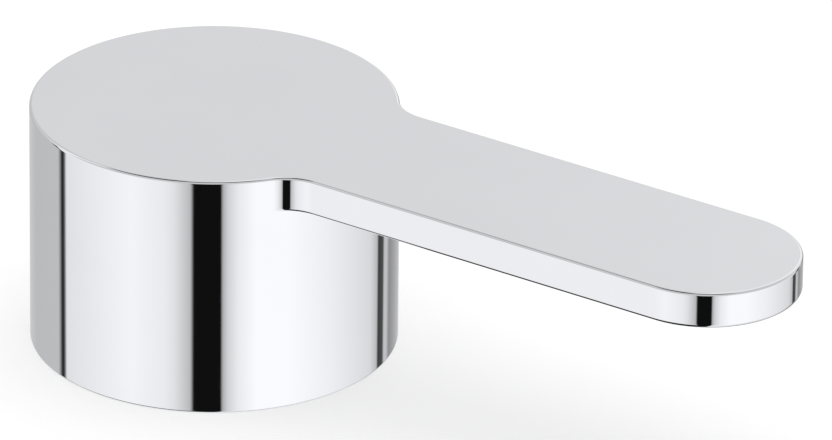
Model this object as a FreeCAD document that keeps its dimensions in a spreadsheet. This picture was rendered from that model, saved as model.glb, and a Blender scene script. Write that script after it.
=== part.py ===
"""Replacement handle for a single-lever mixer tap: cast body, set screw and cover plug.

The drum's axis is Z, its open rim lies on z = 0 and the lever runs along +X. All sizes are millimetres.
"""
import FreeCAD
import Part
import Sketcher
import math
import os

SIZES = [
    ("drum_diameter", 46.0, "outside of the drum"),
    ("drum_height", 31.5, "rim to the flat top"),
    ("drum_wall", 2.5, "side wall of the drum"),
    ("crown_thickness", 3.6, "flat top over the hollow"),
    ("lever_width", 23.3, "across the lever's parallel sides"),
    ("lever_reach", 84.7, "drum axis to the lever's round tip"),
    ("lever_thickness", 4.7, "top of the lever to its underside"),
    ("lever_root_radius", 6.0, "hollow corner between lever and drum, seen from above"),
    ("edge_radius", 0.4, "rounding of the top edge of drum and lever"),
    ("lower_edge_radius", 0.6, "rounding of the lever's lower edge"),
    ("rim_radius", 0.2, "rounding of the drum's open rim"),
    ("inner_corner_radius", 1.5, "rounding where the wall and the boss meet the crown"),
    ("boss_length", 16.0, "crown's underside to the boss's lower end"),
    ("boss_wall", 2.5, "least wall around the spindle socket's corners"),
    ("spindle_square", 8.0, "side of the cartridge's square spindle"),
    ("spindle_clearance", 0.1, "gap on each side of the spindle"),
    ("spindle_depth", 13.0, "how far the spindle enters the boss"),
    ("screw_diameter", 5.0, "nominal diameter of the set screw"),
    ("screw_length", 8.0, "length of the set screw"),
    ("screw_clearance", 0.05, "gap around the screw in its tapped hole"),
    ("screw_setback", 0.4, "socket's wall to the screw's point"),
    ("screw_height", 6.0, "boss's lower end to the screw's axis"),
    ("screw_chamfer", 0.6, "chamfer on both ends of the screw"),
    ("key_size", 2.5, "across the flats of the screw's hexagon socket"),
    ("key_depth", 2.6, "depth of the screw's hexagon socket"),
    ("lug_wall", 2.5, "wall around the tapped hole"),
    ("lug_length", 9.0, "socket's wall to the lug's outer end"),
    ("key_hole_diameter", 6.0, "hole in the back wall for the hexagon key"),
    ("plug_head_diameter", 8.4, "head of the cover plug"),
    ("plug_head_thickness", 1.2, "depth of the head's seat in the wall, on the plug's axis"),
    ("plug_tail", 1.0, "how far the plug reaches inside the wall"),
    ("plug_clearance", 0.05, "gap around the plug"),
    ("plug_edge_radius", 0.2, "rounding of the plug's head"),
    ("plug_flat", 1.0, "small flat in the middle of the plug's domed face"),
]

# Places and sizes that follow from the driving dimensions, as expressions over the sheet.
DRUM_RADIUS = "Sizes.drum_diameter / 2"
HOLLOW_RADIUS = DRUM_RADIUS + " - Sizes.drum_wall"
CROWN_UNDERSIDE = "Sizes.drum_height - Sizes.crown_thickness"
LEVER_UNDERSIDE = "Sizes.drum_height - Sizes.lever_thickness"
SOCKET_SIDE = "(Sizes.spindle_square + 2 * Sizes.spindle_clearance)"
BOSS_END = CROWN_UNDERSIDE + " - Sizes.boss_length"
BOSS_DIAMETER = SOCKET_SIDE + " * sqrt(2) + 2 * Sizes.boss_wall"
SCREW_AXIS = BOSS_END + " + Sizes.screw_height"
LUG_REACH = SOCKET_SIDE + " / 2 + Sizes.lug_length"
SEAT_RADIUS = DRUM_RADIUS + " - Sizes.plug_head_thickness"

# How far a cut runs past the face that it opens.
RUN_OUT = "1"

UP = FreeCAD.Vector(0, 0, 1)
OUT_OF_THE_BACK = FreeCAD.Rotation(FreeCAD.Vector(0, 1, 0), -90)
SAME_LENGTH = 1e-4

doc = FreeCAD.newDocument("tap_handle")
sheet = doc.addObject("Spreadsheet::Sheet", "Sizes")
for row, (alias, value, meaning) in enumerate(SIZES, start=1):
    sheet.set(f"A{row}", alias)
    sheet.set(f"B{row}", str(value))
    sheet.set(f"C{row}", meaning)
    sheet.setAlias(f"B{row}", alias)
doc.recompute()


def point(x, y):
    return FreeCAD.Vector(x, y, 0)


def line(start, end):
    return Part.LineSegment(point(*start), point(*end))


def arc(centre, radius, first_angle, last_angle):
    return Part.ArcOfCircle(Part.Circle(point(*centre), UP, radius), first_angle, last_angle)


def new_body(label):
    body = doc.addObject("PartDesign::Body", label)
    body.Label = label
    return body


def new_sketch(body, name, role, offset="0"):
    """A sketch on one of the body's own origin planes, moved along that plane's normal by offset."""
    sketch = body.newObject("Sketcher::SketchObject", name)
    plane = next(item for item in body.Origin.OriginFeatures if item.Role == role)
    sketch.AttachmentSupport = [(plane, "")]
    sketch.MapMode = "FlatFace"
    sketch.setExpression("AttachmentOffset.Base.z", offset)
    return sketch


def constrain(sketch, rules):
    for rule in rules:
        sketch.addConstraint(Sketcher.Constraint(*rule))


def dimension(sketch, name, expression, kind, *where):
    """Adds a named driving dimension to a sketch and binds it to the sheet."""
    start_value = sketch.evalExpression(expression)
    index = sketch.addConstraint(Sketcher.Constraint(kind, *where, float(start_value)))
    sketch.renameConstraint(index, name)
    sketch.setExpression("Constraints." + name, expression)


def circle_sketch(body, name, role, diameter, offset="0", height=None):
    """A circle at the origin of its plane, or at a height on the plane's vertical axis."""
    sketch = new_sketch(body, name, role, offset)
    start_height = 0 if height is None else float(sketch.evalExpression(height))
    start_radius = float(sketch.evalExpression(diameter)) / 2
    sketch.addGeometry(Part.Circle(point(0, start_height), UP, start_radius))
    if height is None:
        constrain(sketch, [("Coincident", 0, 3, -1, 1)])
    else:
        constrain(sketch, [("PointOnObject", 0, 3, -2)])
        dimension(sketch, "height", height, "DistanceY", -1, 1, 0, 3)
    dimension(sketch, "diameter", diameter, "Diameter", 0)
    return sketch


def square_sketch(body, name, role, side, offset):
    """A square centred on the origin of its plane."""
    sketch = new_sketch(body, name, role, offset)
    half = float(sketch.evalExpression(side)) / 2
    corners = [(-half, -half), (half, -half), (half, half), (-half, half)]
    for n in range(4):
        sketch.addGeometry(line(corners[n], corners[(n + 1) % 4]))
    constrain(sketch, [("Coincident", n, 2, (n + 1) % 4, 1) for n in range(4)])
    constrain(sketch, [("Horizontal", 0), ("Vertical", 1), ("Horizontal", 2), ("Vertical", 3)])
    constrain(sketch, [("Symmetric", 0, 1, 2, 1, -1, 1)])
    dimension(sketch, "width", side, "DistanceX", 0, 1, 0, 2)
    dimension(sketch, "depth", side, "DistanceY", 1, 1, 1, 2)
    return sketch


def hexagon_sketch(body, name, role, across_flats, offset):
    """A regular hexagon centred on the origin of its plane, held by a construction circle."""
    sketch = new_sketch(body, name, role, offset)
    across_corners = across_flats + " / cos(30 deg)"
    radius = float(sketch.evalExpression(across_corners)) / 2
    corners = [(radius * math.cos(n * math.pi / 3), radius * math.sin(n * math.pi / 3)) for n in range(6)]
    for n in range(6):
        sketch.addGeometry(line(corners[n], corners[(n + 1) % 6]))
    round_corners = sketch.addGeometry(Part.Circle(point(0, 0), UP, radius), True)
    constrain(sketch, [("Coincident", round_corners, 3, -1, 1)])
    constrain(sketch, [("Coincident", n, 2, (n + 1) % 6, 1) for n in range(6)])
    constrain(sketch, [("PointOnObject", n, 1, round_corners) for n in range(6)])
    constrain(sketch, [("Equal", 0, n) for n in range(1, 6)])
    constrain(sketch, [("PointOnObject", 0, 1, -1)])
    dimension(sketch, "across_corners", across_corners, "Diameter", round_corners)
    return sketch


def pad(body, name, sketch, length, reverse=False):
    feature = body.newObject("PartDesign::Pad", name)
    feature.Profile = sketch
    feature.Reversed = reverse
    feature.setExpression("Length", length)
    doc.recompute()


def pocket(body, name, sketch, length, reverse=False):
    """Cuts against the sketch's normal, or along it if reversed, and stops if that cuts nothing."""
    before = body.Shape.Volume
    feature = body.newObject("PartDesign::Pocket", name)
    feature.Profile = sketch
    feature.Reversed = reverse
    feature.setExpression("Length", length)
    doc.recompute()
    if body.Shape.Volume >= before:
        raise RuntimeError(name + " removed nothing")


def dress_edges(body, kind, name, size_name, size, chosen):
    """Fillets or chamfers every edge of the body so far for which chosen(edge) is true."""
    base = body.Tip
    edges = [f"Edge{n}" for n, edge in enumerate(base.Shape.Edges, start=1) if chosen(edge)]
    feature = body.newObject(kind, name)
    feature.Base = (base, edges)
    feature.setExpression(size_name, size)
    doc.recompute()


def round_edges(body, name, radius, chosen):
    dress_edges(body, "PartDesign::Fillet", name, "Radius", radius, chosen)


def chamfer_edges(body, name, size, chosen):
    dress_edges(body, "PartDesign::Chamfer", name, "Size", size, chosen)


def lies_at(edge, height):
    """True for an edge that lies flat at one height."""
    box = edge.BoundBox
    return abs(box.ZMin - height) < SAME_LENGTH and abs(box.ZMax - height) < SAME_LENGTH


def leaves_the_drum(edge):
    """True for an edge with an end outside the drum's circle."""
    reach = max(math.hypot(end.X, end.Y) for end in edge.Vertexes)
    return reach > sheet.drum_diameter / 2 + SAME_LENGTH


def lever_sketch(body):
    """The lever seen from above: two parallel sides, a half-round tip and a root inside the drum."""
    sketch = new_sketch(body, "lever_plan", "XY_Plane", LEVER_UNDERSIDE)
    half = sheet.lever_width / 2
    tip = sheet.lever_reach - half
    sketch.addGeometry(line((0, half), (tip, half)))
    sketch.addGeometry(arc((tip, 0), half, -math.pi / 2, math.pi / 2))
    sketch.addGeometry(line((tip, -half), (0, -half)))
    sketch.addGeometry(line((0, -half), (0, half)))
    constrain(sketch, [("Tangent", 0, 2, 1, 2), ("Tangent", 1, 1, 2, 1)])
    constrain(sketch, [("Coincident", 2, 2, 3, 1), ("Coincident", 3, 2, 0, 1)])
    constrain(sketch, [("Horizontal", 0), ("Horizontal", 2), ("Vertical", 3)])
    constrain(sketch, [("PointOnObject", 3, 1, -2), ("PointOnObject", 1, 3, -1)])
    dimension(sketch, "width", "Sizes.lever_width", "DistanceY", 3, 1, 3, 2)
    dimension(sketch, "tip_centre", "Sizes.lever_reach - Sizes.lever_width / 2", "DistanceX", -1, 1, 1, 3)
    return sketch


def lever_root_sketch(body):
    """The two hollow corners where the lever's sides run into the drum, as one symmetric outline."""
    sketch = new_sketch(body, "lever_root_plan", "XY_Plane", LEVER_UNDERSIDE)
    drum = sheet.drum_diameter / 2
    radius = sheet.lever_root_radius
    half = sheet.lever_width / 2
    centre_y = half + radius
    centre_x = math.sqrt((drum + radius) ** 2 - centre_y ** 2)
    touch = drum / (drum + radius)
    drum_x, drum_y = centre_x * touch, centre_y * touch
    lean = math.atan2(centre_y, centre_x)
    sketch.addGeometry(arc((centre_x, centre_y), radius, math.pi + lean, 1.5 * math.pi))
    sketch.addGeometry(line((centre_x, half), (centre_x, -half)))
    sketch.addGeometry(arc((centre_x, -centre_y), radius, 0.5 * math.pi, math.pi - lean))
    sketch.addGeometry(line((drum_x, -drum_y), (drum_x, drum_y)))
    drum_circle = sketch.addGeometry(Part.Circle(point(0, 0), UP, drum), True)
    constrain(sketch, [("Coincident", n, 2, (n + 1) % 4, 1) for n in range(4)])
    constrain(sketch, [("Coincident", drum_circle, 3, -1, 1)])
    constrain(sketch, [("Tangent", 0, 1, drum_circle), ("Vertical", 0, 3, 0, 2)])
    constrain(sketch, [("Symmetric", 0, 3, 2, 3, -1), ("Equal", 0, 2), ("Vertical", 1), ("Vertical", 3)])
    dimension(sketch, "drum", "Sizes.drum_diameter", "Diameter", drum_circle)
    dimension(sketch, "corner", "Sizes.lever_root_radius", "Radius", 0)
    dimension(sketch, "lever_side", "Sizes.lever_width / 2", "DistanceY", -1, 1, 0, 2)
    return sketch


def build_handle_body():
    """One casting: lever and drum outside, hollow, boss, spindle socket and screw lug inside."""
    body = new_body("handle_body")
    top = sheet.drum_height
    lever_underside = top - sheet.lever_thickness
    crown_underside = top - sheet.crown_thickness

    pad(body, "lever", lever_sketch(body), "Sizes.lever_thickness")
    pad(body, "lever_root", lever_root_sketch(body), "Sizes.lever_thickness")
    round_edges(
        body, "lever_lower_edge", "Sizes.lower_edge_radius",
        lambda edge: lies_at(edge, lever_underside) and leaves_the_drum(edge),
    )
    drum = circle_sketch(body, "drum_plan", "XY_Plane", "Sizes.drum_diameter")
    pad(body, "drum", drum, "Sizes.drum_height")
    round_edges(body, "top_edge", "Sizes.edge_radius", lambda edge: lies_at(edge, top))
    round_edges(body, "rim_edge", "Sizes.rim_radius", lambda edge: lies_at(edge, 0))

    hollow = circle_sketch(body, "hollow_plan", "XY_Plane", "2 * (" + HOLLOW_RADIUS + ")")
    pocket(body, "hollow", hollow, CROWN_UNDERSIDE, reverse=True)
    boss = circle_sketch(body, "boss_plan", "XY_Plane", BOSS_DIAMETER, BOSS_END)
    pad(body, "boss", boss, "Sizes.boss_length + Sizes.crown_thickness / 2")
    round_edges(body, "crown_corners", "Sizes.inner_corner_radius", lambda edge: lies_at(edge, crown_underside))

    lug_diameter = "Sizes.screw_diameter + 2 * Sizes.lug_wall"
    lug = circle_sketch(body, "lug_section", "YZ_Plane", lug_diameter, height=SCREW_AXIS)
    pad(body, "lug", lug, LUG_REACH, reverse=True)
    socket = square_sketch(body, "socket_plan", "XY_Plane", SOCKET_SIDE, BOSS_END)
    pocket(body, "spindle_socket", socket, "Sizes.spindle_depth", reverse=True)
    tapped = circle_sketch(body, "tapped_section", "YZ_Plane", "Sizes.screw_diameter", height=SCREW_AXIS)
    pocket(body, "tapped_hole", tapped, LUG_REACH + " + " + RUN_OUT)

    inside_wall = "-(" + HOLLOW_RADIUS + " - " + RUN_OUT + ")"
    key_hole = circle_sketch(
        body, "key_hole_section", "YZ_Plane", "Sizes.key_hole_diameter", inside_wall, SCREW_AXIS
    )
    pocket(body, "key_hole", key_hole, "Sizes.drum_wall + 2 * " + RUN_OUT)
    plug_seat = circle_sketch(
        body, "plug_seat_section", "YZ_Plane", "Sizes.plug_head_diameter", "-(" + SEAT_RADIUS + ")", SCREW_AXIS
    )
    pocket(body, "plug_seat", plug_seat, "Sizes.plug_head_thickness + " + RUN_OUT)
    return body


def place_in_back_wall(body, distance):
    """Turns a body's own +Z to face out of the drum's back and sets it on the screw's axis."""
    body.Placement = FreeCAD.Placement(FreeCAD.Vector(0, 0, 0), OUT_OF_THE_BACK)
    body.setExpression("Placement.Base.x", "-(" + distance + ")")
    body.setExpression("Placement.Base.z", SCREW_AXIS)


def build_set_screw():
    """Set screw with chamfered ends and a hexagon socket, its point towards the spindle."""
    body = new_body("set_screw")
    shank = circle_sketch(
        body, "shank_section", "XY_Plane", "Sizes.screw_diameter - 2 * Sizes.screw_clearance"
    )
    pad(body, "shank", shank, "Sizes.screw_length")
    chamfer_edges(
        body, "end_chamfers", "Sizes.screw_chamfer",
        lambda edge: lies_at(edge, 0) or lies_at(edge, sheet.screw_length),
    )
    key = hexagon_sketch(body, "key_section", "XY_Plane", "Sizes.key_size", "Sizes.screw_length")
    pocket(body, "key_socket", key, "Sizes.key_depth")
    place_in_back_wall(body, SOCKET_SIDE + " / 2 + Sizes.screw_setback")
    return body


def plug_sketch(body):
    """Half section of the plug, seat on the horizontal axis, with its domed face as round as the drum.

    The dome ends at a small flat, whose height is the face's.
    """
    sketch = new_sketch(body, "plug_section", "XZ_Plane")
    drum = sheet.drum_diameter / 2
    shank = sheet.key_hole_diameter / 2 - sheet.plug_clearance
    head = sheet.plug_head_diameter / 2 - sheet.plug_clearance
    face = sheet.plug_head_thickness - sheet.plug_clearance
    inside = sheet.drum_wall - sheet.plug_head_thickness + sheet.plug_tail
    flat = sheet.plug_flat / 2
    dome_centre = face - math.sqrt(drum ** 2 - flat ** 2)
    face_rim = dome_centre + math.sqrt(drum ** 2 - head ** 2)
    sketch.addGeometry(line((0, -inside), (shank, -inside)))
    sketch.addGeometry(line((shank, -inside), (shank, 0)))
    sketch.addGeometry(line((shank, 0), (head, 0)))
    sketch.addGeometry(line((head, 0), (head, face_rim)))
    sketch.addGeometry(arc((0, dome_centre), drum, math.acos(head / drum), math.acos(flat / drum)))
    sketch.addGeometry(line((flat, face), (0, face)))
    sketch.addGeometry(line((0, face), (0, -inside)))
    constrain(sketch, [("Coincident", n, 2, (n + 1) % 7, 1) for n in range(7)])
    constrain(sketch, [("Horizontal", n) for n in (0, 2, 5)])
    constrain(sketch, [("Vertical", n) for n in (1, 3, 6)])
    constrain(sketch, [("PointOnObject", 2, 1, -1), ("PointOnObject", 6, 1, -2), ("PointOnObject", 4, 3, -2)])
    dimension(sketch, "shank", "Sizes.key_hole_diameter / 2 - Sizes.plug_clearance", "DistanceX", -1, 1, 1, 1)
    dimension(sketch, "head", "Sizes.plug_head_diameter / 2 - Sizes.plug_clearance", "DistanceX", -1, 1, 3, 1)
    dimension(
        sketch, "inside", "Sizes.drum_wall - Sizes.plug_head_thickness + Sizes.plug_tail",
        "DistanceY", 0, 1, -1, 1,
    )
    dimension(sketch, "face", "Sizes.plug_head_thickness - Sizes.plug_clearance", "DistanceY", -1, 1, 5, 1)
    dimension(sketch, "flat", "Sizes.plug_flat / 2", "DistanceX", -1, 1, 5, 1)
    dimension(sketch, "dome", DRUM_RADIUS, "Radius", 4)
    return sketch


def build_cover_plug():
    """Push-in plug whose head sits in the wall, just below flush."""
    body = new_body("cover_plug")
    sketch = plug_sketch(body)
    turned = body.newObject("PartDesign::Revolution", "turned_plug")
    turned.Profile = sketch
    turned.ReferenceAxis = (sketch, ["V_Axis"])
    turned.Angle = 360
    doc.recompute()
    head = sheet.plug_head_diameter / 2 - sheet.plug_clearance
    round_edges(
        body, "head_edge", "Sizes.plug_edge_radius",
        lambda edge: edge.BoundBox.ZMin > SAME_LENGTH and abs(edge.BoundBox.XMax - head) < SAME_LENGTH,
    )
    place_in_back_wall(body, SEAT_RADIUS)
    return body


def check_document(bodies):
    """Stops before anything is written if an object failed or a sub-part is not one sound solid."""
    for item in doc.Objects:
        if "Invalid" in item.State or "Error" in item.State:
            raise RuntimeError(item.Name + " failed: " + str(item.State))
    for body in bodies:
        if body.Shape.isNull() or not body.Shape.isValid() or len(body.Shape.Solids) != 1:
            raise RuntimeError(body.Label + " is not one valid solid")


bodies = [build_handle_body(), build_set_screw(), build_cover_plug()]
doc.recompute()
check_document(bodies)
os.makedirs("parts", exist_ok=True)
for body in bodies:
    body.Shape.exportStep("parts/" + body.Label + ".step")
    print(body.Label, "volume", round(body.Shape.Volume, 1), "mm3, box", body.Shape.BoundBox)
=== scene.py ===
"""Looks of a replacement tap handle: chrome shell, threaded set screw and cover plug, in a plain studio.

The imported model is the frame: metres, the drum's axis along Z, its open rim on z = 0, the lever along +X.
"""
import math

import bmesh
import bpy
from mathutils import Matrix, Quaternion, Vector


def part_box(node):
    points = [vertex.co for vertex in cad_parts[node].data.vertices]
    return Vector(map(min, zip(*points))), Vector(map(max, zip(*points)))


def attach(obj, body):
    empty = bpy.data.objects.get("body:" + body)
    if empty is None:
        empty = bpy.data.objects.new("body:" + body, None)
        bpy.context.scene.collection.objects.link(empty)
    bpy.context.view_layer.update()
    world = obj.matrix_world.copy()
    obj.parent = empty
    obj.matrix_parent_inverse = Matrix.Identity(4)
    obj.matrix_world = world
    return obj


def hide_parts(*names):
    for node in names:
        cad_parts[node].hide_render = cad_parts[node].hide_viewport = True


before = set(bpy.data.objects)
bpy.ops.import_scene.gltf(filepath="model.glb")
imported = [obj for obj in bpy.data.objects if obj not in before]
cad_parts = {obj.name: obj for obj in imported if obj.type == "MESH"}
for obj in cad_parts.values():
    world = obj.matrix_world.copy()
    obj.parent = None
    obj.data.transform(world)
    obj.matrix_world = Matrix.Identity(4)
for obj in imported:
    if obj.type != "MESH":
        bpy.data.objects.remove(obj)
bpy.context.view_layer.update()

MM = 0.001
UP = Vector((0, 0, 1))
QUARTER = math.pi / 2
WHOLE = math.pi * 2

# The handle's sizes: its reach in each direction from the frame, the rest as the CAD model has them.
BODY_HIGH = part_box("handle_body")[1]
DRUM_RADIUS = BODY_HIGH.y
TOP = BODY_HIGH.z
REACH = BODY_HIGH.x
LEVER_HALF = 11.65 * MM
LEVER_THICKNESS = 4.7 * MM
ROOT_RADIUS = 6 * MM
EDGE = 0.4 * MM
LOWER_EDGE = 0.6 * MM
RIM_EDGE = 0.2 * MM
DRUM_WALL = 2.5 * MM
CROWN_THICKNESS = 3.6 * MM
INNER_CORNER = 1.5 * MM
BOSS_LENGTH = 16 * MM
BOSS_WALL = 2.5 * MM
SOCKET_HALF = 4.1 * MM
SOCKET_DEPTH = 13 * MM
SCREW_RISE = 6 * MM
TAPPED_RADIUS = 2.5 * MM
LUG_WALL = 2.5 * MM
LUG_LENGTH = 9 * MM
KEY_HOLE_RADIUS = 3 * MM
PLUG_SEAT_RADIUS = 4.2 * MM
PLUG_SEAT_DEPTH = 1.2 * MM
PLUG_CLEARANCE = 0.05 * MM
RUN_OUT = 1 * MM

# What follows from those sizes.
LEVER_UNDERSIDE = TOP - LEVER_THICKNESS
HOLLOW_RADIUS = DRUM_RADIUS - DRUM_WALL
CROWN_UNDERSIDE = TOP - CROWN_THICKNESS
BOSS_END = CROWN_UNDERSIDE - BOSS_LENGTH
BOSS_RADIUS = SOCKET_HALF * math.sqrt(2) + BOSS_WALL
SOCKET_ROOF = BOSS_END + SOCKET_DEPTH
SCREW_AXIS = BOSS_END + SCREW_RISE
LUG_RADIUS = TAPPED_RADIUS + LUG_WALL
LUG_END = SOCKET_HALF + LUG_LENGTH
PLUG_SEAT = PLUG_SEAT_DEPTH - DRUM_RADIUS

# The set screw: an M5 thread, a cup point and a hexagon socket that ends in the drill's cone.
# The thread's flank runs from the crest's half width to where the root begins, as shares of the pitch.
SCREW_LOW, SCREW_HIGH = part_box("set_screw")
SCREW_RADIUS = (SCREW_HIGH.y - SCREW_LOW.y) / 2
SCREW_LENGTH = SCREW_HIGH.x - SCREW_LOW.x
SCREW_CHAMFER = 0.6 * MM
PITCH = 0.8 * MM
THREAD_DEPTH = 0.49 * MM
THREAD_CREST = 1 / 16
THREAD_ROOT = 3 / 8
CUP_RADIUS = 1.2 * MM
CUP_DEPTH = 0.6 * MM
KEY_HALF = 1.25 * MM
KEY_DEPTH = 2.6 * MM
KEY_CONE = KEY_HALF / 2
KEY_SIDES = 6

# The cover plug: its face is as round as the drum.
PLUG_LOW, PLUG_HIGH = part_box("cover_plug")
PLUG_RADIUS = (PLUG_HIGH.y - PLUG_LOW.y) / 2
PLUG_EDGE = 0.2 * MM
SHANK_RADIUS = KEY_HOLE_RADIUS - PLUG_CLEARANCE

# Where the outline's arcs lie, seen from above.
TIP_X = REACH - LEVER_HALF
ROOT_Y = LEVER_HALF + ROOT_RADIUS
ROOT_DISTANCE = DRUM_RADIUS + ROOT_RADIUS
ROOT_X = math.sqrt(ROOT_DISTANCE ** 2 - ROOT_Y ** 2)
ROOT_BEARING = math.atan2(ROOT_Y, ROOT_X)

# How finely the pieces are divided.
EDGE_STEPS = 6
CORNER_STEPS = 8
WEB_STEPS = 10
ROOT_STEPS = 12
SIDE_STEPS = 16
TIP_STEPS = 120
BACK_STEPS = 192
EAVES_STEPS = 40
TOOL_STEPS = 64
DOME_STEPS = 12
PLUG_STEPS = 96
SCREW_STEPS = 48
THREAD_STEPS = 12

# Angles from which an edge stays sharp, on the shell and on the two turned pieces.
SHELL_SHARP = math.radians(30)
TURNED_SHARP = math.radians(35)

# A face of the shell is level, or looks down, by the upward part of its normal.
# It takes the exact normal of the polished form where the two agree by this much.
LEVEL = 0.9999
DOWNWARD = -0.01
AGREEMENT = 0.97

# The shell's two material slots.
CHROME = 0
CASTING = 1


def arc_stations(centre, radius, start, end, steps, side=1):
    """Points along an arc seen from above, each with the direction that leads out of the handle there."""
    stations = []
    for step in range(steps + 1):
        bearing = start + (end - start) * step / steps
        spoke = Vector((math.cos(bearing), math.sin(bearing), 0))
        stations.append((centre + spoke * radius, spoke * side))
    return stations


def root_stations():
    """The hollow corner at the lever's right-hand root, from the drum to the lever.

    One station lies where the rounded lower edge is just clear of the drum.
    """
    centre = Vector((ROOT_X, -ROOT_Y, 0))
    inner = ROOT_RADIUS + LOWER_EDGE
    clear = math.acos((ROOT_DISTANCE ** 2 + inner ** 2 - DRUM_RADIUS ** 2) / (2 * ROOT_DISTANCE * inner))
    start = math.pi - ROOT_BEARING
    web = arc_stations(centre, ROOT_RADIUS, start, start - clear, WEB_STEPS, side=-1)
    return web + arc_stations(centre, ROOT_RADIUS, start - clear, QUARTER, ROOT_STEPS, side=-1)[1:]


def side_stations():
    """The lever's straight right-hand side, without its two ends."""
    reach = TIP_X - ROOT_X
    return [
        (Vector((ROOT_X + reach * step / SIDE_STEPS, -LEVER_HALF, 0)), Vector((0, -1, 0)))
        for step in range(1, SIDE_STEPS)
    ]


def lever_outline():
    """The lever's outline from the drum round the tip and back to the drum, with both hollow roots."""
    right = root_stations() + side_stations()
    tip = arc_stations(Vector((TIP_X, 0, 0)), LEVER_HALF, -QUARTER, QUARTER, TIP_STEPS)
    mirror = Vector((1, -1, 1))
    left = [(point * mirror, outward * mirror) for point, outward in reversed(right)]
    return right + tip + left


def back_bearings():
    """Bearings round the back of the drum from one root of the lever to the other, without the ends."""
    sweep = WHOLE - 2 * ROOT_BEARING
    return [ROOT_BEARING + sweep * step / BACK_STEPS for step in range(1, BACK_STEPS)]


def quarter_turn(steps):
    """Sine and cosine at even steps through a right angle, the start left out."""
    turns = [QUARTER * step / steps for step in range(1, steps + 1)]
    return [(math.sin(turn), math.cos(turn)) for turn in turns]


def inset_ring(mesh, stations, inset, height):
    """A row of vertices that follows the stations, moved into the handle by the inset."""
    return [mesh.verts.new((*(point - outward * inset).xy, height)) for point, outward in stations]


def round_ring(mesh, bearings, radius, height):
    """A row of vertices about the drum's axis."""
    return [mesh.verts.new((radius * math.cos(b), radius * math.sin(b), height)) for b in bearings]


def skin(mesh, first, second, closed):
    """Faces from one row of vertices to the next, with a triangle where the rows share a vertex."""
    for here in range(len(first) if closed else len(first) - 1):
        there = (here + 1) % len(first)
        corners = (second[here], second[there], first[there], first[here])
        mesh.faces.new(list(dict.fromkeys(corners)))


def lower_edge_turn(point, outward):
    """How far round the lever's lower edge is rounded: a right angle, or less where it meets the drum."""
    along = point.dot(outward)
    spare = along ** 2 - point.length_squared + DRUM_RADIUS ** 2
    if spare < 0:
        return QUARTER
    room = max(0, along - math.sqrt(spare))
    return math.acos(1 - room / LOWER_EDGE) if room < LOWER_EDGE else QUARTER


def add_lever(mesh, outline, shoulder):
    """The lever's wall, rounded lower edge and underside; gives the line where they end on the drum."""
    waist = inset_ring(mesh, outline, 0, LEVER_UNDERSIDE + LOWER_EDGE)
    skin(mesh, shoulder, waist, closed=False)
    hem = waist
    for step in range(1, EDGE_STEPS + 1):
        row = waist[:1]
        for point, outward in outline[1:-1]:
            turn = lower_edge_turn(point, outward) * step / EDGE_STEPS
            inset = LOWER_EDGE * (1 - math.cos(turn))
            height = LEVER_UNDERSIDE + LOWER_EDGE * (1 - math.sin(turn))
            row += inset_ring(mesh, [(point, outward)], inset, height)
        row += waist[-1:]
        skin(mesh, hem, row, closed=False)
        hem = row
    meeting = hem[-1 - WEB_STEPS].co
    half = math.atan2(meeting.y, meeting.x)
    bearings = [-half + 2 * half * step / EAVES_STEPS for step in range(1, EAVES_STEPS)]
    middle = round_ring(mesh, bearings, DRUM_RADIUS, LEVER_UNDERSIDE)
    mesh.faces.new(middle + hem[WEB_STEPS:-WEB_STEPS][::-1])
    return hem[:WEB_STEPS + 1] + middle + hem[-1 - WEB_STEPS:]


def hollow_profile():
    """Radius and height along the rim, the inside of the drum and the boss, down to the boss's end."""
    profile = []
    for sine, cosine in quarter_turn(EDGE_STEPS):
        profile.append((DRUM_RADIUS - RIM_EDGE * (1 - cosine), RIM_EDGE * (1 - sine)))
    profile.append((HOLLOW_RADIUS, 0))
    profile.append((HOLLOW_RADIUS, CROWN_UNDERSIDE - INNER_CORNER))
    for sine, cosine in quarter_turn(CORNER_STEPS):
        profile.append((
            HOLLOW_RADIUS - INNER_CORNER * (1 - cosine),
            CROWN_UNDERSIDE - INNER_CORNER * (1 - sine),
        ))
    profile.append((BOSS_RADIUS + INNER_CORNER, CROWN_UNDERSIDE))
    for sine, cosine in quarter_turn(CORNER_STEPS):
        profile.append((
            BOSS_RADIUS + INNER_CORNER * (1 - sine),
            CROWN_UNDERSIDE - INNER_CORNER * (1 - cosine),
        ))
    profile.append((BOSS_RADIUS, BOSS_END))
    return profile


def ring_edges(ring):
    """The edges between neighbours in a closed row of vertices."""
    pairs = zip(ring, ring[1:] + ring[:1])
    return [edge for here, there in pairs for edge in here.link_edges if edge.other_vert(here) == there]


def add_socket(mesh, boss_ring):
    """Closes the boss's lower end round the square socket, and makes the socket's walls and roof."""
    corners = [(SOCKET_HALF, SOCKET_HALF), (-SOCKET_HALF, SOCKET_HALF)]
    corners += [(-x, -y) for x, y in corners]
    mouth = [mesh.verts.new((x, y, BOSS_END)) for x, y in corners]
    roof = [mesh.verts.new((x, y, SOCKET_ROOF)) for x, y in corners]
    skin(mesh, mouth, roof, closed=True)
    mesh.faces.new(roof[::-1])
    bmesh.ops.bridge_loops(mesh, edges=ring_edges(boss_ring) + ring_edges(mouth))


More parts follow.
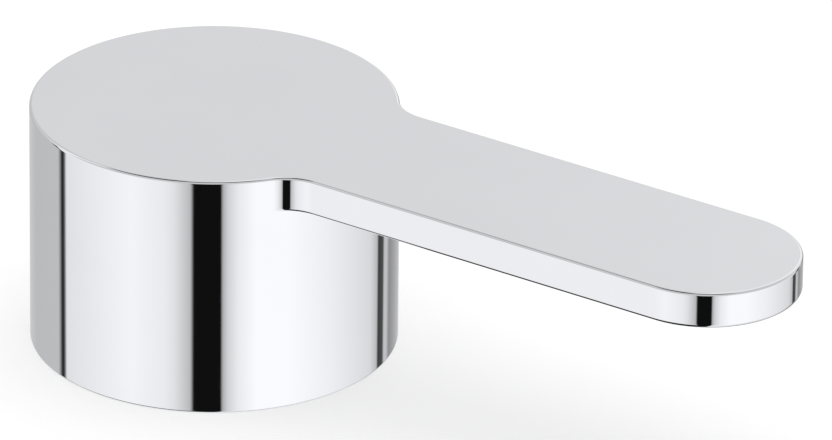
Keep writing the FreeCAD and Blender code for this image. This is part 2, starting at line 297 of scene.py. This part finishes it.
def shell_mesh():
    """The handle's casting as one closed mesh, before the screw's lug and the holes."""
    mesh = bmesh.new()
    outline = lever_outline()
    back = back_bearings()
    spokes = [Vector((math.cos(b), math.sin(b), 0)) for b in back]
    around = outline + [(spoke * DRUM_RADIUS, spoke) for spoke in spokes]

    shoulder = inset_ring(mesh, around, EDGE, TOP)
    mesh.faces.new(shoulder)
    for sine, cosine in quarter_turn(EDGE_STEPS):
        row = inset_ring(mesh, around, EDGE * (1 - sine), TOP - EDGE * (1 - cosine))
        skin(mesh, shoulder, row, closed=True)
        shoulder = row
    lever_top, back_top = shoulder[:len(outline)], shoulder[len(outline):]
    eaves = add_lever(mesh, outline, lever_top)

    bearings = [math.atan2(corner.co.y, corner.co.x) for corner in eaves] + back
    foot = round_ring(mesh, bearings, DRUM_RADIUS, RIM_EDGE)
    front_foot, back_foot = foot[:len(eaves)], foot[len(eaves):]
    skin(mesh, eaves, front_foot, closed=False)
    skin(mesh, back_top, back_foot, closed=False)
    mesh.faces.new((front_foot[-1], back_foot[0], back_top[0], lever_top[-1], eaves[-1]))
    mesh.faces.new((back_foot[-1], front_foot[0], eaves[0], lever_top[0], back_top[-1]))

    row = foot
    for radius, height in hollow_profile():
        inner = round_ring(mesh, bearings, radius, height)
        skin(mesh, row, inner, closed=True)
        row = inner
    add_socket(mesh, row)
    bmesh.ops.recalc_face_normals(mesh, faces=mesh.faces)
    return mesh


def new_object(name, mesh):
    """An object in the scene from a bmesh, which is freed."""
    data = bpy.data.meshes.new(name)
    mesh.to_mesh(data)
    mesh.free()
    made = bpy.data.objects.new(name, data)
    bpy.context.scene.collection.objects.link(made)
    return made


def screw_ring(mesh, radii, x):
    """A row of vertices about the screw's axis, with a radius for each step round it.

    It starts half a step round, so that a tool's corners miss those of the casting, which it is cut from.
    """
    turns = [WHOLE * (step + 0.5) / len(radii) for step in range(len(radii))]
    return [
        mesh.verts.new((x, radius * math.cos(turn), SCREW_AXIS + radius * math.sin(turn)))
        for radius, turn in zip(radii, turns)
    ]


def rod(name, radius, start_x, end_x):
    """A round tool along X at the screw's height, to cut with or to add."""
    mesh = bmesh.new()
    ends = [screw_ring(mesh, [radius] * TOOL_STEPS, x) for x in (start_x, end_x)]
    skin(mesh, ends[0], ends[1], closed=True)
    mesh.faces.new(ends[0])
    mesh.faces.new(ends[1][::-1])
    bmesh.ops.recalc_face_normals(mesh, faces=mesh.faces)
    return new_object(name, mesh)


def join_tools(target, steps):
    """Adds or cuts away each tool in turn, then removes the tools."""
    for operation, tool in steps:
        boolean = target.modifiers.new(tool.name, "BOOLEAN")
        boolean.operation = operation
        boolean.solver = "EXACT"
        boolean.object = tool
    evaluated = target.evaluated_get(bpy.context.evaluated_depsgraph_get())
    finished = bpy.data.meshes.new_from_object(evaluated)
    target.modifiers.clear()
    rough = target.data
    target.data = finished
    bpy.data.meshes.remove(rough)
    for _, tool in steps:
        bpy.data.meshes.remove(tool.data)


def outward_seen_from_above(point, on_lever):
    """Direction out of the handle at a point of its outline."""
    x, y = point.xy
    side = math.copysign(1, y)
    if on_lever and x >= TIP_X:
        return Vector((x - TIP_X, y, 0)).normalized()
    if on_lever and x >= ROOT_X:
        return Vector((0, side, 0))
    if on_lever and abs(math.atan2(y, x)) < ROOT_BEARING:
        return Vector((ROOT_X - x, side * ROOT_Y - y, 0)).normalized()
    return Vector((x, y, 0)).normalized()


def polished_normal(point, face):
    """Exact normal of the polished outside at a corner of one of its faces."""
    on_lever = face.center.z > LEVER_UNDERSIDE
    lean = 0
    if point.z > TOP - EDGE:
        lean = (point.z - TOP) / EDGE + 1
    elif face.normal.z < DOWNWARD and on_lever:
        lean = (point.z - LEVER_UNDERSIDE) / LOWER_EDGE - 1
    elif face.normal.z < DOWNWARD:
        lean = point.z / RIM_EDGE - 1
    lean = max(-1, min(1, lean))
    outward = outward_seen_from_above(point, on_lever)
    return outward * math.sqrt(1 - lean * lean) + UP * lean


def set_normals(mesh):
    """Gives the polished outside its exact normals, so that the mirror finish shows no facets."""
    mesh.shade_smooth()
    mesh.set_sharp_from_angle(angle=SHELL_SHARP)
    normals = [Vector(corner.vector) for corner in mesh.corner_normals]
    for face in mesh.polygons:
        flat = abs(face.normal.z) > LEVEL
        for loop in face.loop_indices:
            point = mesh.vertices[mesh.loops[loop].vertex_index].co
            exact = face.normal.copy() if flat else polished_normal(point, face)
            if exact.dot(face.normal) > AGREEMENT:
                normals[loop] = exact
    mesh.normals_split_custom_set(normals)


def is_inside(face):
    """True for the faces of the casting's hollow, which the polishing wheel doesn't reach."""
    return face.center.xy.length < HOLLOW_RADIUS + EDGE and RIM_EDGE < face.center.z < TOP - EDGE


def build_shell():
    """The cast and plated handle, with the lug, the tapped hole and the plug's seat."""
    shell = new_object("handle_shell", shell_mesh())
    outside = -DRUM_RADIUS - RUN_OUT
    join_tools(shell, [
        ("UNION", rod("lug", LUG_RADIUS, -SOCKET_HALF - RUN_OUT, -LUG_END)),
        ("DIFFERENCE", rod("tapped_hole", TAPPED_RADIUS, -SOCKET_HALF + RUN_OUT, -LUG_END - RUN_OUT)),
        ("DIFFERENCE", rod("key_hole", KEY_HOLE_RADIUS, -HOLLOW_RADIUS + RUN_OUT, outside)),
        ("DIFFERENCE", rod("plug_seat", PLUG_SEAT_RADIUS, PLUG_SEAT, outside)),
    ])
    for face in shell.data.polygons:
        face.material_index = CASTING if is_inside(face) else CHROME
    set_normals(shell.data)
    return shell


def thread_radius(along, turn):
    """Radius of the screw's thread at a distance along its axis and a share of a turn round it."""
    from_crest = abs((along / PITCH - turn + 0.5) % 1 - 0.5)
    flank = (from_crest - THREAD_CREST) / (THREAD_ROOT - THREAD_CREST)
    depth = THREAD_DEPTH * max(0, min(1, flank))
    chamfered = SCREW_RADIUS - SCREW_CHAMFER + min(along, SCREW_LENGTH - along)
    return min(SCREW_RADIUS - depth, chamfered)


def hexagon_radius(turn):
    """Radius of the key socket's hexagon at a share of a turn round it."""
    return KEY_HALF / math.cos((turn * KEY_SIDES % 1 - 0.5) * WHOLE / KEY_SIDES)


def build_screw():
    """The set screw from its cup point to its hexagon socket, as one closed mesh."""
    mesh = bmesh.new()
    point_x, head_x = SCREW_HIGH.x, SCREW_LOW.x
    turns = [step / SCREW_STEPS for step in range(SCREW_STEPS)]
    rows = round(SCREW_LENGTH / PITCH * THREAD_STEPS)
    cup = screw_ring(mesh, [CUP_RADIUS] * SCREW_STEPS, point_x)
    rings = [cup]
    for row in range(rows + 1):
        along = SCREW_LENGTH * row / rows
        rings.append(screw_ring(mesh, [thread_radius(along, turn) for turn in turns], point_x - along))
    key = [hexagon_radius(turn) for turn in turns]
    rings.append(screw_ring(mesh, key, head_x))
    rings.append(screw_ring(mesh, key, head_x + KEY_DEPTH))
    for first, second in zip(rings, rings[1:]):
        skin(mesh, first, second, closed=True)
    deep = mesh.verts.new((head_x + KEY_DEPTH + KEY_CONE, 0, SCREW_AXIS))
    pit = mesh.verts.new((point_x - CUP_DEPTH, 0, SCREW_AXIS))
    skin(mesh, rings[-1], [deep] * SCREW_STEPS, closed=True)
    skin(mesh, [pit] * SCREW_STEPS, cup, closed=True)
    bmesh.ops.recalc_face_normals(mesh, faces=mesh.faces)
    screw = new_object("threaded_screw", mesh)
    screw.data.shade_smooth()
    screw.data.set_sharp_from_angle(angle=TURNED_SHARP)
    return screw


def plug_profile():
    """Radius and place along X from the middle of the plug's face over its rounded edge to its tail."""
    centre = PLUG_LOW.x + DRUM_RADIUS
    edge_radius = PLUG_RADIUS - PLUG_EDGE
    edge_reach = DRUM_RADIUS - PLUG_EDGE
    edge_x = centre - math.sqrt(edge_reach ** 2 - edge_radius ** 2)
    widest = math.asin(edge_radius / edge_reach)
    profile = []
    for step in range(1, DOME_STEPS + 1):
        turn = widest * step / DOME_STEPS
        profile.append((DRUM_RADIUS * math.sin(turn), centre - DRUM_RADIUS * math.cos(turn)))
    for step in range(1, EDGE_STEPS + 1):
        turn = widest + (QUARTER - widest) * step / EDGE_STEPS
        profile.append((edge_radius + PLUG_EDGE * math.sin(turn), edge_x - PLUG_EDGE * math.cos(turn)))
    profile.append((PLUG_RADIUS, PLUG_SEAT))
    profile.append((SHANK_RADIUS, PLUG_SEAT))
    profile.append((SHANK_RADIUS, PLUG_HIGH.x))
    return profile


def build_plug():
    """The cover plug turned about the screw's axis, as one closed mesh."""
    mesh = bmesh.new()
    pole = mesh.verts.new((PLUG_LOW.x, 0, SCREW_AXIS))
    row = [pole] * PLUG_STEPS
    for radius, x in plug_profile():
        ring = screw_ring(mesh, [radius] * PLUG_STEPS, x)
        skin(mesh, row, ring, closed=True)
        row = ring
    mesh.faces.new(row)
    bmesh.ops.recalc_face_normals(mesh, faces=mesh.faces)
    plug = new_object("turned_plug", mesh)
    plug.data.shade_smooth()
    plug.data.set_sharp_from_angle(angle=TURNED_SHARP)
    return plug


# The noise's usual range, which a material's colour and roughness are spread over.
NOISE_LOW = 0.3
NOISE_HIGH = 0.7


def new_material(name):
    """A node material, with its tree and its shader."""
    material = bpy.data.materials.new(name)
    material.use_nodes = True
    return material, material.node_tree, material.node_tree.nodes["Principled BSDF"]


def noise(tree, scale, detail):
    """Noise over the object's own coordinates, with features about 1 / scale metres wide."""
    place = tree.nodes.new("ShaderNodeTexCoord")
    texture = tree.nodes.new("ShaderNodeTexNoise")
    texture.inputs["Scale"].default_value = scale
    texture.inputs["Detail"].default_value = detail
    tree.links.new(place.outputs["Object"], texture.inputs["Vector"])
    return texture.outputs["Fac"]


def ranged(tree, value, low, high):
    """The noise spread from low to high."""
    spread = tree.nodes.new("ShaderNodeMapRange")
    spread.inputs["From Min"].default_value = NOISE_LOW
    spread.inputs["From Max"].default_value = NOISE_HIGH
    spread.inputs["To Min"].default_value = low
    spread.inputs["To Max"].default_value = high
    tree.links.new(value, spread.inputs["Value"])
    return spread.outputs["Result"]


def tinted(tree, value, dark, light):
    """A colour between dark and light, by the noise."""
    ramp = tree.nodes.new("ShaderNodeValToRGB")
    ends = ((NOISE_LOW, dark), (NOISE_HIGH, light))
    for element, (position, colour) in zip(ramp.color_ramp.elements, ends):
        element.position = position
        element.color = (*colour, 1)
    tree.links.new(value, ramp.inputs["Fac"])
    return ramp.outputs["Color"]


def uneven_metal(name, metallic, tints, blotches, roughness, haze):
    """A metal between two tints and two roughnesses, each spread by a noise given as its scale and detail."""
    material, tree, shader = new_material(name)
    shader.inputs["Metallic"].default_value = metallic
    tint = tinted(tree, noise(tree, *blotches), *tints)
    tree.links.new(tint, shader.inputs["Base Color"])
    finish = ranged(tree, noise(tree, *haze), *roughness)
    tree.links.new(finish, shader.inputs["Roughness"])
    return material


def add_relief(material, grain, strength, distance):
    """Bump on a material from a noise given as its scale and detail."""
    tree = material.node_tree
    relief = tree.nodes.new("ShaderNodeBump")
    relief.inputs["Strength"].default_value = strength
    relief.inputs["Distance"].default_value = distance
    tree.links.new(noise(tree, *grain), relief.inputs["Height"])
    tree.links.new(relief.outputs["Normal"], tree.nodes["Principled BSDF"].inputs["Normal"])


def chrome_material():
    """Bright chrome plate: a mirror with a faint cool tint and barely uneven polish."""
    return uneven_metal(
        "chrome_plate",
        metallic=1,
        tints=((0.918, 0.922, 0.955), (0.934, 0.938, 0.97)),
        blotches=(60, 2),
        roughness=(0.015, 0.045),
        haze=(180, 4),
    )


def casting_material():
    """Bare zinc casting inside the drum: dull grey, grainy and blotched by thin plating."""
    material = uneven_metal(
        "zinc_casting",
        metallic=0.85,
        tints=((0.46, 0.47, 0.49), (0.62, 0.63, 0.65)),
        blotches=(350, 5),
        roughness=(0.38, 0.6),
        haze=(500, 4),
    )
    add_relief(material, grain=(2200, 3), strength=0.35, distance=0.1 * MM)
    return material


def steel_material():
    """Plain stainless steel of the set screw, with a fine grain."""
    return uneven_metal(
        "screw_steel",
        metallic=1,
        tints=((0.52, 0.53, 0.54), (0.60, 0.61, 0.62)),
        blotches=(900, 3),
        roughness=(0.22, 0.36),
        haze=(3000, 3),
    )


def plug_material():
    """Moulded plug in chrome grey, smooth with a faint grain."""
    return uneven_metal(
        "plug_chrome",
        metallic=0.75,
        tints=((0.70, 0.71, 0.72), (0.76, 0.77, 0.78)),
        blotches=(1200, 3),
        roughness=(0.16, 0.24),
        haze=(2500, 2),
    )


# The camera of the photograph: a long lens from the lever's side, a little round towards its tip and above.
CAMERA_AZIMUTH = math.radians(34.28)
CAMERA_ELEVATION = math.radians(25.65)
CAMERA_ROLL = math.radians(0.58)
CAMERA_DISTANCE = 1500 * MM
CAMERA_AIM = Vector((30.38, 0, 23.85)) * MM
LENS_IN_MM = 527.8
SENSOR_IN_MM = 36


def place_camera():
    """The camera at the photograph's viewing angle, aimed at the middle of the handle."""
    back = Vector((
        math.sin(CAMERA_AZIMUTH) * math.cos(CAMERA_ELEVATION),
        -math.cos(CAMERA_AZIMUTH) * math.cos(CAMERA_ELEVATION),
        math.sin(CAMERA_ELEVATION),
    ))
    lens = bpy.data.cameras.new("camera")
    lens.lens = LENS_IN_MM
    lens.sensor_width = SENSOR_IN_MM
    camera = bpy.data.objects.new("camera", lens)
    camera.location = CAMERA_AIM + back * CAMERA_DISTANCE
    aimed = back.to_track_quat("Z", "Y") @ Quaternion((0, 0, 1), CAMERA_ROLL)
    camera.rotation_euler = aimed.to_euler()
    bpy.context.scene.collection.objects.link(camera)
    bpy.context.scene.camera = camera


# The studio that the chrome mirrors: brightness against degrees away from the camera, on its left and right.
# All its bearings and elevations are in degrees.
HALF_TURN = 180
LEFT_WALLS = [
    (0, 0.005), (11.8, 0.005),
    (13.8, 0.52), (24, 0.8), (30, 0.88), (52, 0.965), (78, 0.88), (104.5, 0.8),
    (106.5, 0.14), (108, 0.02), (109.5, 0.02), (113.5, 0.54),
    (147, 0.52), (180, 0.66),
]
RIGHT_WALLS = [
    (0, 0.005), (5, 0.005),
    (6.5, 0.46), (9.5, 0.68), (16, 0.88), (27, 1.03), (48, 1.03), (77, 0.92), (116, 0.73), (124, 0.52),
    (126, 0.05), (132.5, 0.08),
    (134.5, 0.54), (138, 0.58), (143, 0.28), (180, 0.66),
]
LEFT_CEILING = [(0, 0.6), (92, 0.6), (98, 0.9), (108, 0.9), (120, 0.64), (155, 0.58), (180, 0.72)]
RIGHT_CEILING = [(0, 0.6), (110, 0.6), (168, 0.97), (180, 0.72)]
LEFT_FLOOR = [(0, 0.005), (155, 0.005), (180, 0.3)]
RIGHT_FLOOR = [(0, 0.03), (5, 0.03), (7, 0.9), (40, 0.9), (110, 0.6), (180, 0.3)]
ZENITH = 0.8

# A dark beam hangs high above the camera, and fades out between these bearings on its left and right.
BEAM = 0.03
LEFT_BEAM_END = (110, 150)
RIGHT_BEAM_END = (40, 65)

# Elevations between which one zone of the studio passes into the next.
FLOOR_TO_WALLS = (-53, -47)
WALLS_TO_CEILING = (4, 9)
CEILING_TO_BEAM = (56, 60)
BEAM_TO_ZENITH = (78, 84)

# What other rays see in place of the panels: those of matt surfaces and those of the camera.
PLAIN_LIGHT = 0.6
CAMERA_WHITE = 1.0

# The floor lies just below the rim. Its glow brings it up to white where no shadow falls.
FLOOR_DROP = -0.05 * MM
FLOOR_REACH = 4.0
FLOOR_COLOUR = (0.8, 0.8, 0.8, 1)
FLOOR_ROUGHNESS = 0.9
GLOW_COLOUR = (1, 1, 1, 1)
GLOW = 0.42

# One soft lamp overhead gives the floor its light shadow. Place and size are in metres, the power in watts.
LAMP_PLACE = Vector((0.1, 0.2, 1.6))
LAMP_SIZE = 2.0
LAMP_POWER = 8


class StudioNodes:
    """The world's node tree, with the few kinds of node that the studio is made of."""

    def __init__(self, world):
        world.use_nodes = True
        self.nodes = world.node_tree.nodes
        self.links = world.node_tree.links
        self.nodes.clear()

    def add(self, kind, **inputs):
        """A node with its named inputs set to values or linked to sockets."""
        node = self.nodes.new(kind)
        for name, value in inputs.items():
            self.feed(node.inputs[name.replace("_", " ")], value)
        return node

    def feed(self, socket, value):
        """Links a socket to another one, or sets it to a number."""
        if isinstance(value, bpy.types.NodeSocket):
            self.links.new(value, socket)
        else:
            socket.default_value = value

    def math(self, operation, *values):
        """The result of one operation on numbers or sockets."""
        node = self.nodes.new("ShaderNodeMath")
        node.operation = operation
        for socket, value in zip(node.inputs, values):
            self.feed(socket, value)
        return node.outputs["Value"]

    def step(self, value, start, end):
        """0 up to the start, 1 past the end and smooth between."""
        node = self.add("ShaderNodeMapRange", Value=value, From_Min=start, From_Max=end)
        node.interpolation_type = "SMOOTHSTEP"
        return node.outputs["Result"]

    def past(self, share, bearings):
        """The step between two bearings, in degrees away from the camera."""
        start, end = bearings
        return self.step(share, start / HALF_TURN, end / HALF_TURN)

    def above(self, height, elevations):
        """The step between two elevations, in degrees."""
        low, high = elevations
        return self.step(height, math.sin(math.radians(low)), math.sin(math.radians(high)))

    def mix(self, share, first, second):
        """The first value where the share is 0, and the second where it is 1."""
        node = self.nodes.new("ShaderNodeMix")
        self.feed(node.inputs["Factor"], share)
        self.feed(node.inputs["A"], first)
        self.feed(node.inputs["B"], second)
        return node.outputs["Result"]

    def panels(self, share, stops):
        """Brightness by the share of half a turn away from the camera."""
        node = self.add("ShaderNodeValToRGB", Fac=share)
        elements = node.color_ramp.elements
        while len(elements) < len(stops):
            elements.new(1)
        for element, (degrees, level) in zip(elements, stops):
            element.position = degrees / HALF_TURN
            element.color = (level, level, level, 1)
        return node.outputs["Color"]


def studio_world():
    """White surroundings for the camera, a plain light on matt surfaces, and panels for mirrors to show."""
    world = bpy.data.worlds.new("studio")
    studio = StudioNodes(world)
    direction = studio.add("ShaderNodeTexCoord").outputs["Generated"]
    turned = studio.add("ShaderNodeVectorRotate", Vector=direction, Angle=QUARTER - CAMERA_AZIMUTH)
    turned.rotation_type = "Z_AXIS"
    parts = studio.add("ShaderNodeSeparateXYZ", Vector=turned.outputs["Vector"])
    height = parts.outputs["Z"]
    bearing = studio.math("ARCTAN2", parts.outputs["Y"], parts.outputs["X"])
    away = studio.math("DIVIDE", studio.math("ABSOLUTE", bearing), math.pi)
    on_right = studio.math("GREATER_THAN", bearing, 0.0)

    walls = studio.mix(on_right, studio.panels(away, LEFT_WALLS), studio.panels(away, RIGHT_WALLS))
    ceiling = studio.mix(on_right, studio.panels(away, LEFT_CEILING), studio.panels(away, RIGHT_CEILING))
    floor = studio.mix(on_right, studio.panels(away, LEFT_FLOOR), studio.panels(away, RIGHT_FLOOR))
    past_beam = studio.mix(on_right, studio.past(away, LEFT_BEAM_END), studio.past(away, RIGHT_BEAM_END))
    beam = studio.mix(past_beam, BEAM, ceiling)
    room = studio.mix(studio.above(height, FLOOR_TO_WALLS), floor, walls)
    room = studio.mix(studio.above(height, WALLS_TO_CEILING), room, ceiling)
    room = studio.mix(studio.above(height, CEILING_TO_BEAM), room, beam)
    room = studio.mix(studio.above(height, BEAM_TO_ZENITH), room, ZENITH)

    rays = studio.add("ShaderNodeLightPath").outputs
    mirrored = studio.math("MAXIMUM", rays["Is Glossy Ray"], rays["Is Transmission Ray"])
    shown = studio.mix(mirrored, PLAIN_LIGHT, room)
    shown = studio.mix(rays["Is Camera Ray"], shown, CAMERA_WHITE)
    background = studio.add("ShaderNodeBackground", Color=shown)
    studio.add("ShaderNodeOutputWorld", Surface=background.outputs["Background"])
    bpy.context.scene.world = world


def floor_material():
    """White and matt from above with a glow for the camera alone, and clear from below."""
    material, tree, shader = new_material("pale_floor")
    shader.inputs["Base Color"].default_value = FLOOR_COLOUR
    shader.inputs["Roughness"].default_value = FLOOR_ROUGHNESS
    shader.inputs["Specular IOR Level"].default_value = 0
    shader.inputs["Emission Color"].default_value = GLOW_COLOUR
    rays = tree.nodes.new("ShaderNodeLightPath")
    glow = tree.nodes.new("ShaderNodeMath")
    glow.operation = "MULTIPLY"
    glow.inputs[1].default_value = GLOW
    tree.links.new(rays.outputs["Is Camera Ray"], glow.inputs[0])
    tree.links.new(glow.outputs["Value"], shader.inputs["Emission Strength"])
    side = tree.nodes.new("ShaderNodeNewGeometry")
    clear = tree.nodes.new("ShaderNodeBsdfTransparent")
    sides = tree.nodes.new("ShaderNodeMixShader")
    tree.links.new(side.outputs["Backfacing"], sides.inputs["Fac"])
    tree.links.new(shader.outputs["BSDF"], sides.inputs[1])
    tree.links.new(clear.outputs["BSDF"], sides.inputs[2])
    tree.links.new(sides.outputs["Shader"], tree.nodes["Material Output"].inputs["Surface"])
    return material


def studio_floor():
    """A white floor that keeps a light shadow; mirrors show the panels in its place.

    It is open under the drum, so that the inside can be looked into from below.
    """
    mesh = bmesh.new()
    bearings = [WHOLE * step / TOOL_STEPS for step in range(TOOL_STEPS)]
    opening = round_ring(mesh, bearings, HOLLOW_RADIUS, FLOOR_DROP)
    far_edge = round_ring(mesh, bearings, FLOOR_REACH, FLOOR_DROP)
    skin(mesh, opening, far_edge, closed=True)
    floor = new_object("floor", mesh)
    floor.visible_glossy = False
    floor.data.materials.append(floor_material())


def soft_lamp():
    """A square soft lamp aimed at the handle; the chrome doesn't mirror it."""
    light = bpy.data.lights.new("overhead", "AREA")
    light.size = LAMP_SIZE
    light.energy = LAMP_POWER
    lamp = bpy.data.objects.new("overhead", light)
    lamp.location = LAMP_PLACE
    lamp.rotation_euler = (LAMP_PLACE - CAMERA_AIM).to_track_quat("Z", "Y").to_euler()
    lamp.visible_glossy = False
    lamp.visible_camera = False
    bpy.context.scene.collection.objects.link(lamp)


shell = build_shell()
shell.data.materials.append(chrome_material())
shell.data.materials.append(casting_material())
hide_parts("handle_body")
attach(shell, "root")

screw = build_screw()
screw.data.materials.append(steel_material())
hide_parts("set_screw")
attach(screw, "root")

plug = build_plug()
plug.data.materials.append(plug_material())
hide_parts("cover_plug")
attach(plug, "root")

place_camera()
studio_world()
studio_floor()
soft_lamp()

bpy.context.scene.view_settings.view_transform = "Standard"
